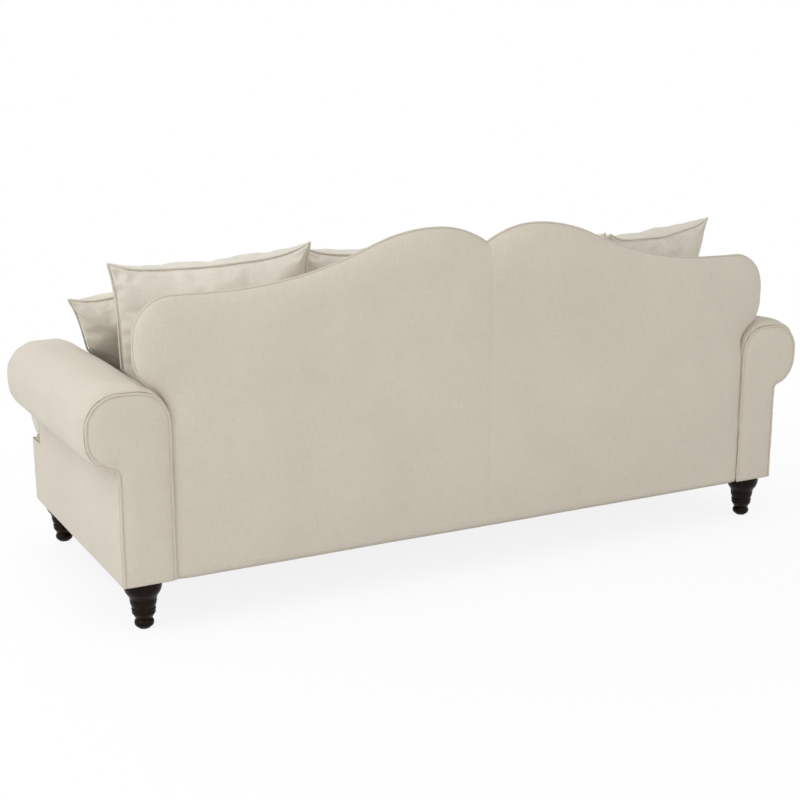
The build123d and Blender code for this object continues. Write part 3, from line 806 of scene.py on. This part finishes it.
class SofaPiece:
    """What every operator of this sofa shares."""
    bl_options = {"REGISTER", "UNDO"}


class SOFA_OT_stage(SofaPiece, bpy.types.Operator):
    """Pale floor, soft light from the near side, and the camera behind the near arm"""
    bl_idname = "sofa.stage"
    bl_label = "Stage"

    def execute(self, context):
        scene = context.scene
        scene.view_settings.view_transform = "Standard"
        camera = bpy.data.objects.new("camera", bpy.data.cameras.new("camera"))
        camera.data.lens, camera.data.sensor_width = 59.79, 36.0
        camera.location = (1.8277, 3.2939, 1.2311)
        camera.rotation_euler = self.facing((-0.4655, -0.8573, -0.2199))
        scene.collection.objects.link(camera)
        scene.camera = camera
        cool, warm = (0.91, 0.955, 1.0), (1.0, 0.99, 0.97)
        lamps = (("key", (3.4, 0.9, 2.9), 2.6, 64.0, cool), ("fill", (-0.4, 3.7, 2.9), 3.0, 29.5, warm),
                 ("front", (0.6, -3.4, 2.6), 3.0, 40.0, warm))
        for name, spot, size, power, colour in lamps:
            lamp = bpy.data.lights.new(name, "AREA")
            lamp.size, lamp.energy, lamp.color = size, power, colour
            holder = bpy.data.objects.new(name, lamp)
            holder.location = spot
            holder.rotation_euler = self.facing(Vector((0, 0, 0.45)) - Vector(spot))
            scene.collection.objects.link(holder)
        world = bpy.data.worlds.new("white_room")
        scene.world = world
        world.use_nodes = True
        shade = Shade(world.node_tree)
        white = (1.0, 1.0, 1.0, 1.0)
        dim, bright = (shade.node("ShaderNodeBackground", Color=white, Strength=size) for size in (0.62, 1.0))
        both = shade.node("ShaderNodeMixShader", i0=self.seen(shade), i1=dim, i2=bright)
        shade.fill(shade.tree.nodes["World Output"], Surface=both)
        lines = 40 * np.linspace(-1, 1, 33) ** 3
        grid = spread(lines[:, None], lines, 0.0)
        floor = surface("floor", [(grid, grid[..., :2])])
        material, shader, shade = new_material("pale_floor")
        shade.fill(shader, Base_Color=(0.95, 0.95, 0.95, 1.0), Roughness=0.9)
        glow = shade.node("ShaderNodeEmission", Color=white, Strength=1.0)
        where = shade.node("ShaderNodeTexCoord", out="Object")
        away = shade.node("ShaderNodeVectorMath", {"operation": "LENGTH"}, out="Value", i0=where)
        away = shade.node("ShaderNodeMapRange", i0=away, i1=1.1, i2=2.6, i3=0.87, i4=1.0)
        plain = Shade(shade.tree, shader.outputs[0])
        both = shade.node("ShaderNodeMixShader", i0=away * self.seen(shade), i1=plain, i2=glow)
        shade.fill(shade.tree.nodes["Material Output"], Surface=both)
        floor.data.materials.append(material)
        return {"FINISHED"}

    @staticmethod
    def facing(way):
        """Turn that points a camera or a lamp along a direction, upright."""
        return Vector(way).to_track_quat("-Z", "Y").to_euler()

    @staticmethod
    def seen(shade):
        """1 for what the camera sees straight, in gloss or through glass."""
        path = shade.node("ShaderNodeLightPath", out="Is Camera Ray")
        rays = path.socket.node.outputs
        gloss, glass = (Shade(shade.tree, rays[f"Is {kind} Ray"]) for kind in ("Glossy", "Transmission"))
        return shade.maths("MAXIMUM", shade.maths("MAXIMUM", path, gloss), glass)


class SOFA_OT_outside_back(SofaPiece, bpy.types.Operator):
    """Rear cover of the back in two halves with an upright seam"""
    bl_idname = "sofa.outside_back"
    bl_label = "Outside back"

    def execute(self, context):
        for side, word in SIDES:
            piece = cover(f"outside_back_{word}", [half_back_grid(side)], f"outside_back_panel_{word}",
                          flip=side < 0)
        return {"FINISHED"}


class SOFA_OT_inside_back(SofaPiece, bpy.types.Operator):
    """Front cover of the back, and the padding below it"""
    bl_idname = "sofa.inside_back"
    bl_label = "Inside back"

    def execute(self, context):
        piece = cover("inside_back", [inside_back_grid()], "inside_back_cover", flip=True)
        padding = thicken(surface("back_padding", [inside_back_grid(0.0024)], flip=True), CLOTH)
        wear(padding, "frame", ["back_foam"], "seat_foam")
        return {"FINISHED"}


class SOFA_OT_arms(SofaPiece, bpy.types.Operator):
    """Rolled cover of each arm, from under the roll over to the seat"""
    bl_idname = "sofa.arms"
    bl_label = "Rolled arms"

    def execute(self, context):
        for side, word in SIDES:
            piece = cover(f"rolled_arm_{word}", [roll_grid(side)], f"arm_cover_{word}", side > 0)
        return {"FINISHED"}


class SOFA_OT_arm_ends(SofaPiece, bpy.types.Operator):
    """Padded scroll panels at the rear and the front of each arm"""
    bl_idname = "sofa.arm_ends"
    bl_label = "Arm ends"

    def execute(self, context):
        for side, word in SIDES:
            for end, forward, low, way in (("rear", 0.0062, 0.0, 1), ("front", 0.7438, COVER_LOW, -1)):
                piece = cover(f"arm_{end}_scroll_{word}", [end_grid(side, forward, low, way)],
                              f"arm_{end}_panel_{word}", flip=side * way > 0)
        return {"FINISHED"}


class SOFA_OT_outside_arms(SofaPiece, bpy.types.Operator):
    """Tight outside panel of each arm, on to the front corner"""
    bl_idname = "sofa.outside_arms"
    bl_label = "Outside arms"

    def execute(self, context):
        for side, word in SIDES:
            piece = cover(f"outside_arm_{word}", side_grids(side), f"outside_arm_panel_{word}",
                          flip=side < 0)
        return {"FINISHED"}


class SOFA_OT_front_border(SofaPiece, bpy.types.Operator):
    """Front cover of the base below the seat cushions"""
    bl_idname = "sofa.front_border"
    bl_label = "Front border"

    def execute(self, context):
        end_gap, bulge, fade, hem_fall = 0.002, 0.001, 0.05, 0.003
        half = BASE_HALF - end_gap
        x = half * np.sin(np.linspace(-pi / 2, pi / 2, 160))[:, None]
        up = BORDER_TOP * eased(30)
        proud = bulge * smooth(0, fade, up) * smooth(0, fade, BORDER_TOP - up)
        proud = proud + WAVER * ripple(x * 14, up * 16, 41)
        forward = BASE_DEPTH + OFF + proud - CORNER_FALL * rounding(BASE_HALF - np.abs(x), CORNER_WIDTH)
        forward = forward - hem_fall * rounding(up, HEM) - hem_fall * rounding(BORDER_TOP - up, HEM)
        grids = [(place(x, forward, up), spread(x, up))]
        piece = cover("front_border", grids, "front_border_cover")
        return {"FINISHED"}


class SOFA_OT_piping(SofaPiece, bpy.types.Operator):
    """Piping round the back's edge and round both ends of each arm"""
    bl_idname = "sofa.piping"
    bl_label = "Piping"

    def execute(self, context):
        radius = context.scene.sofa_sizes.piping
        back_seam, back_proud, waver, wander = 0.0303, 0.0024, 0.0006, 0.0005
        edge = full_edge(420, 0.002)
        turn = np.gradient(edge, axis=0)
        out = np.stack((-turn[:, 1], 0 * turn[:, 0], turn[:, 0]), -1)
        run = np.arange(len(edge))
        path = place(edge[:, 0], back_seam + waver * ripple(run * 0.21, run * 0.05, 3), edge[:, 1])
        piece = tube("back_welt", path + back_proud * unit(out), out, radius, seed=2)
        wear(piece, "frame", ["back_piping"], "piping_linen")
        seam, proud = WELT / 2, 0.0012
        ends = (("rear", seam - proud, 0.001), ("front", ARM_LENGTH - seam + proud, COVER_LOW))
        for side, word in SIDES:
            for seed, (end, forward, low) in enumerate(ends, 5):
                outside, inside = scroll_edge(seam, low, context.scene.sofa_sizes.neck)
                edge = along(np.concatenate((outside, inside[-2::-1])), np.linspace(0, 1, 420))
                run = np.arange(len(edge))
                drift = ripple(run * 0.3, run * 0.1, 8), ripple(run * 0.27, run * 0.12, 9)
                edge = edge + wander * spread(*drift)
                turn = np.gradient(edge, axis=0)
                out = np.stack((side * turn[:, 1], 0 * turn[:, 0], -turn[:, 0]), -1)
                path = place(side * edge[:, 0], forward, edge[:, 1])
                piece = tube(f"arm_welt_{end}_{word}", path, out, radius, seed=seed)
                wear(piece, "frame", [f"arm_piping_{word}"], "piping_linen")
        return {"FINISHED"}


class SOFA_OT_seat_cushions(SofaPiece, bpy.types.Operator):
    """Two boxed T-shaped seat cushions, filled by cloth simulation, with piped edges"""
    bl_idname = "sofa.seat_cushions"
    bl_label = "Seat cushions"

    def execute(self, context):
        for side, word in SIDES:
            self.cushion(side, word)
        return {"FINISHED"}

    def cushion(self, side, word):
        """The cover is filled and held to its own space, and piping follows both of its rims."""
        points, quads, uv, rims = cushion_cover()
        points = place(side * points[:, 0], points[:, 1], points[:, 2])
        piece = mesh_piece(f"seat_pad_{word}", points, quads, uv, flip=side > 0, weld=0)
        points = inflate(piece, pressure=3.0, cap=0.012, grow=-0.01)
        space = (0.002, BACK_HALF), 0.140, (0.7515, 0.7525), (0.167, 0.858)
        points = self.hold(points, side, *space, (BORDER_TOP + 0.0006, SEAT_TOP - 0.0005))
        set_points(piece, points)
        subdivide(piece)
        body = f"seat_cushion_{word}"
        wear(piece, body, [body], "pillow_linen_weave")
        middle, radius = points.mean(0), 0.003
        space = (0.0052, 0.8635), 0.1335, (0.752, 0.756), (0.17, 0.8505)
        for name, ring in zip(("top", "low"), rims):
            path = loop(points[ring], 419)
            away = path - middle
            away[:, 2] = 0
            if name == "low":
                path[:, 2] = np.maximum(path[:, 2], BASE + BORDER_TOP + 0.0036)
            path = self.hold(path, side, *space)
            welt = tube(f"seat_pad_{word}_{name}_welt", path, away, radius, closed=True, sides=10, seed=3)
            wear(welt, body, [], "piping_linen")

    @staticmethod
    def hold(points, side, walls, ear, step, depth, levels=(-1.0, 1.0)):
        """Keep points between the middle and the arm, or before the arm the ear's tip, and between
        the given depths and levels."""
        x, forward, up = side * points[:, 0], REAR - points[:, 1], points[:, 2] - BASE
        x = np.clip(x, walls[0], walls[1] + smooth(*step, forward) * ear)
        return place(side * x, np.clip(forward, *depth), np.clip(up, *levels))


class SOFA_OT_back_pillows(SofaPiece, bpy.types.Operator):
    """Four piped back pillows standing on the seat, filled by cloth simulation"""
    bl_idname = "sofa.back_pillows"
    bl_label = "Back pillows"

    def execute(self, context):
        lean, height, ear_level, rest = 16.0, 0.430, 0.756, 0.126
        depth = 0.130, 0.045
        rows = (("outer_left", -0.703, 0.079, 17.0, -2.0, 0.508, (-2.0, -0.4585)),
                ("inner_left", -0.231, 0.0, 0.0, 1.0, 0.446, (-0.4575, -0.004)),
                ("inner_right", 0.227, 0.085, 0.0, 0.0, 0.446, (0.004, 0.4375)),
                ("outer_right", 0.675, 0.039, -8.0, -4.0, 0.508, (0.4385, 2.0)))
        tilt = np.radians(lean)
        for seed, (word, x, ahead, yaw, roll, width, room) in enumerate(rows, 11):
            forward = rest + height / 2 * np.sin(tilt) + ahead
            up = ear_level - height / 2 * np.cos(tilt)
            frame_of = pillow_frame(x, forward, up, lean, yaw, roll)
            make_pillow(f"back_pillow_{word}", frame_of, (width, height), depth, seed, room)
        return {"FINISHED"}


class SOFA_OT_throw_pillow(SofaPiece, bpy.types.Operator):
    """One piped throw pillow leaning towards the near arm"""
    bl_idname = "sofa.throw_pillow"
    bl_label = "Throw pillow"

    def execute(self, context):
        frame_of = pillow_frame(x=0.713, forward=0.542, up=0.4985, lean=38.0, yaw=-6.0, roll=-14.0)
        make_pillow("throw_pillow", frame_of, (0.42, 0.42), (0.060, 0.055), 23)
        return {"FINISHED"}


def make_pillow(node, frame_of, size, depth, seed, room=(-2.0, 2.0)):
    """Pillow in place of a node: the cover is filled, set on its frame, and pressed flat where it
    meets the seat, the back, an arm or the next pillow; piping follows its sewn edge."""
    middle, axes = frame_of
    grids, seam = pillow_cover(*size, *depth, count=46, seed=seed)
    piece = surface(f"{node}_cover", grids, weld=1e-4)
    sewn = ((read_points(piece.data)[None] - seam[:, None]) ** 2).sum(-1).argmin(1)
    filled = inflate(piece, pressure=3.2, cap=0.024, held=sewn)
    points = rest_pillow(middle + filled @ axes, room)
    piece.vertex_groups.clear()
    set_points(piece, points)
    subdivide(piece)
    wear(piece, node, [node], "pillow_linen_weave")
    radius, stand = 0.0027, 0.0010
    path = loop(points[sewn], 360)
    away = path - middle
    path = rest_pillow(path + stand * unit(away), room, radius)
    welt = tube(f"{node}_welt", path, away, radius, closed=True, sides=10, seed=seed)
    wear(welt, node, [], "pillow_linen_weave")


def rest_pillow(points, room, spare=0.0):
    """Press a pillow flat on the seat, on the raked front of the back, on the arms, which are an
    inner wall and a quarter circle up to the top of the roll, and on the pillows beside it."""
    seat_gap, back_gap, roll_gap, roll_swell, beyond = 0.0006, 0.0012, 0.010, 0.007, 0.3
    x, forward, up = points[:, 0], REAR - points[:, 1], points[:, 2] - BASE
    up = np.maximum(up, SEAT_TOP + seat_gap + spare)
    front = BACK_FRONT + BACK_RAKE * (HUMP - up) + back_gap + spare
    forward = np.maximum(forward, front)
    bend, centre = ROLL_CORNER + roll_gap + spare, ARM_INNER + ROLL_CORNER + roll_swell
    rise = np.maximum(up - ROLL_TOP + ROLL_CORNER - roll_swell, 0)
    wall = centre - np.sqrt(np.maximum(bend**2 - rise**2, 0)) + beyond * (rise >= bend)
    x = np.clip(np.clip(x, -wall, wall), room[0] + spare, room[1] - spare)
    return place(x, forward, up)


def through(start, middle, end):
    """Arc through three points: its centre is as far from each of them."""
    start, middle, end = (np.asarray(p, float) for p in (start, middle, end))
    sides = np.stack((middle - start, end - start))
    centre = np.linalg.solve(2 * sides, (middle @ middle - start @ start, end @ end - start @ start))
    return arc(start, end, centre, 12)


def chain(start, *bends):
    """Arcs in a row: each runs through a middle to an end, where the next one starts."""
    points = [np.array([start])]
    for middle, end in bends:
        points.append(through(start, middle, end)[1:])
        start = end
    return np.concatenate(points)


class SOFA_OT_feet(SofaPiece, bpy.types.Operator):
    """Four turned feet: bulb, neck, two beads, vase and flange"""
    bl_idname = "sofa.feet"
    bl_label = "Turned feet"

    def execute(self, context):
        # Radius and height of the profile in millimetres.
        bulb = chain((17.0, 3.0), ((23.4, 11.0), (19.2, 23.4)))
        beads = chain((27.0, 36.5), ((28.4, 40.0), (27.0, 43.6)), ((29.3, 48.4), (27.6, 53.0)))
        vase = chain((29.3, 57.0), ((31.9, 66.0), (32.3, 76.0)), ((35.8, 83.0), (40.3, 89.7)),
                     ((44.3, 99.0), (46.0, 109.0)), ((46.3, 116.0), (45.5, 122.0)))
        socket = [(4.2, 122.0), (4.2, 88.0), (0.0, 88.0)]
        profile = np.concatenate(([(0.0, 3.0)], bulb, beads, vase, socket)) / 1000
        turn = np.linspace(0, 2 * pi, 65)
        radius, height = profile[:, :1], profile[:, 1:]
        for row, forward in (("front", FOOT_FRONT), ("rear", FOOT_REAR)):
            for side, word in SIDES:
                x, y = side * FOOT_X + radius * np.cos(turn), REAR - forward + radius * np.sin(turn)
                grids = [(spread(x, y, height), spread(0.03 * turn, height))]
                piece = surface(f"turned_foot_{row}_{word}", grids, flip=True)
                piece.data.set_sharp_from_angle(angle=0.6)
                wear(piece, "frame", [f"foot_{row}_{word}"], "dark_foot_stain")
        return {"FINISHED"}


class SOFA_OT_deck(SofaPiece, bpy.types.Operator):
    """Deck cloth under the cushions and the dust cloth under the base"""
    bl_idname = "sofa.deck"
    bl_label = "Deck and dust cloth"

    def execute(self, context):
        between = np.linspace(-BACK_HALF, BACK_HALF, 80)
        gap, lift, wall = 0.002, 0.0009, 0.0006
        step = REAR - ARM_LENGTH - gap
        for node, word, slot, cloth in (("deck_cover", "deck_cloth_sheet", "deck_cloth", "deck_cotton"),
                                        ("dust_cover", "dust_cloth_sheet", "dust_cloth", "dust_fleece")):
            low, high = (np.array(corner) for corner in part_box(node))
            deck = node == "deck_cover"
            ends = np.linspace(low[0], -BACK_HALF, 8)[:-1], np.linspace(BACK_HALF, high[0], 8)[1:]
            whole = np.concatenate((ends[0], between, ends[1]))
            rear = between if deck else whole
            level = high[2] if deck else low[2] + lift
            fields = ((whole, np.linspace(low[1], step, 8)), (rear, np.linspace(step, high[1], 44)))
            grids = [self.field(x[:, None], y, low, high, level) for x, y in fields]
            piece = surface(word, [(grid, grid[..., :2]) for grid in grids])
            thicken(piece, wall)
            wear(piece, "frame", [node], cloth)
        return {"FINISHED"}

    @staticmethod
    def field(x, y, low, high, level):
        """Level field that sags as the product of two half sines between the corners of its node."""
        depth = 0.0008
        sag = np.sin(pi * (x - low[0]) / (high[0] - low[0])) * np.sin(pi * (y - low[1]) / (high[1] - low[1]))
        return spread(x, y, level - depth * sag)


class SOFA_OT_frame_finishes(SofaPiece, bpy.types.Operator):
    """Finishes of the feet, the wooden frame, the foam, the webbing and the fixings"""
    bl_idname = "sofa.frame_finishes"
    bl_label = "Frame finishes"

    def execute(self, context):
        rows = (("foot_glides", "grey_felt"), ("foot_hanger", "zinc_steel"), ("foot_t_nuts", "zinc_steel"),
                ("front_foot_blocks", "pale_frame_wood"), ("rear_foot_blocks", "pale_frame_wood"),
                ("foot_", "dark_foot_stain"), ("seat_webbing", "jute_belt"), ("back_webbing", "jute_belt"),
                ("deck_pad", "seat_foam"), ("arm_foam", "seat_foam"), ("back_foam", "seat_foam"),
                ("arm_former", "layered_ply"), ("front_deck_board", "layered_ply"), ("", "pale_frame_wood"))
        for name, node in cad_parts.items():
            material = finish(next(finish_name for start, finish_name in rows if name.startswith(start)))
            node.data.materials.clear()
            node.data.materials.append(material)
        return {"FINISHED"}


class SOFA_PT_panel(bpy.types.Panel):
    """Lists the sofa's operators, sizes and colours"""
    bl_idname = "SOFA_PT_panel"
    bl_label = "Sofa"
    bl_space_type = "VIEW_3D"
    bl_region_type = "UI"
    bl_category = "Sofa"

    def draw(self, context):
        for operator in OPERATORS:
            self.layout.operator(operator.bl_idname)
        for group in (context.scene.sofa_sizes, context.scene.sofa_colours):
            for key in group.__annotations__:
                self.layout.prop(group, key)


OPERATORS = (
    SOFA_OT_stage, SOFA_OT_frame_finishes, SOFA_OT_feet, SOFA_OT_outside_back, SOFA_OT_inside_back,
    SOFA_OT_arms, SOFA_OT_arm_ends, SOFA_OT_outside_arms, SOFA_OT_front_border, SOFA_OT_piping,
    SOFA_OT_deck, SOFA_OT_seat_cushions, SOFA_OT_back_pillows, SOFA_OT_throw_pillow,
)
CLASSES = (SofaSizes, SofaColours, *OPERATORS, SOFA_PT_panel)


def register():
    for kind in CLASSES:
        bpy.utils.register_class(kind)
    bpy.types.Scene.sofa_sizes = bpy.props.PointerProperty(type=SofaSizes)
    bpy.types.Scene.sofa_colours = bpy.props.PointerProperty(type=SofaColours)


def unregister():
    del bpy.types.Scene.sofa_colours
    del bpy.types.Scene.sofa_sizes
    for kind in reversed(CLASSES):
        bpy.utils.unregister_class(kind)


def main():
    """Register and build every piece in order."""
    register()
    for operator in OPERATORS:
        group, name = operator.bl_idname.split(".")
        getattr(getattr(bpy.ops, group), name)()


if __name__ == "__main__":
    main()
